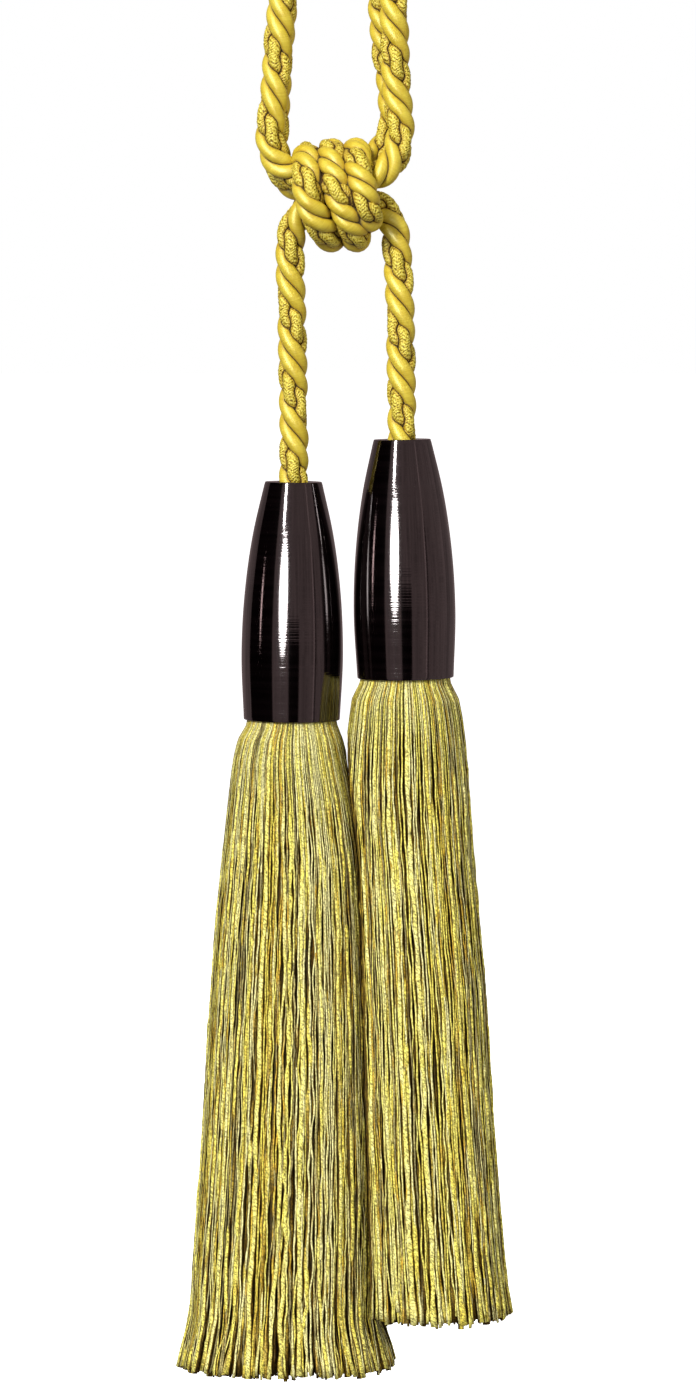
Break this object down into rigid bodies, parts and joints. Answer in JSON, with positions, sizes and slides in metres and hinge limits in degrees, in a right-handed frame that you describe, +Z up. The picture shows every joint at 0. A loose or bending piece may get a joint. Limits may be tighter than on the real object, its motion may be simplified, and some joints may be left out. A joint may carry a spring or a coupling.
{
  "type": "curtain tieback tassel",
  "caption": "Hanging loop of plied rope drawn through a wound knot, with tassels on ropes of unequal length below: turned bullet-shaped lacquered heads over long, flaring yarn skirts.",
  "frame": {"origin": "where the loop rests on its wall hook: the inside top of the arch", "axes": "+X to the right tassel, +Y into the wall, +Z up; the seen front faces -Y"},
  "size_m": [0.1123, 0.0632, 0.578],
  "materials": {
    "satin_rope": "golden yellow plied rope, satin and boucle strands together",
    "knot_rope": "the same golden yellow rope, wound tight",
    "dark_lacquer": "turned wood under black-brown high gloss lacquer",
    "skirt_yarn": "straw, gold and olive yarns hanging loose, with deep brown gaps"
  },
  "bodies": {
    "root": {"loop_front": "satin_rope", "loop_back": "satin_rope", "knot": "knot_rope", "rope_left": "satin_rope", "rope_right": "satin_rope", "head_left": "dark_lacquer", "head_right": "dark_lacquer", "skirt_left": "skirt_yarn", "skirt_right": "skirt_yarn"}
  },
  "joints": []
}
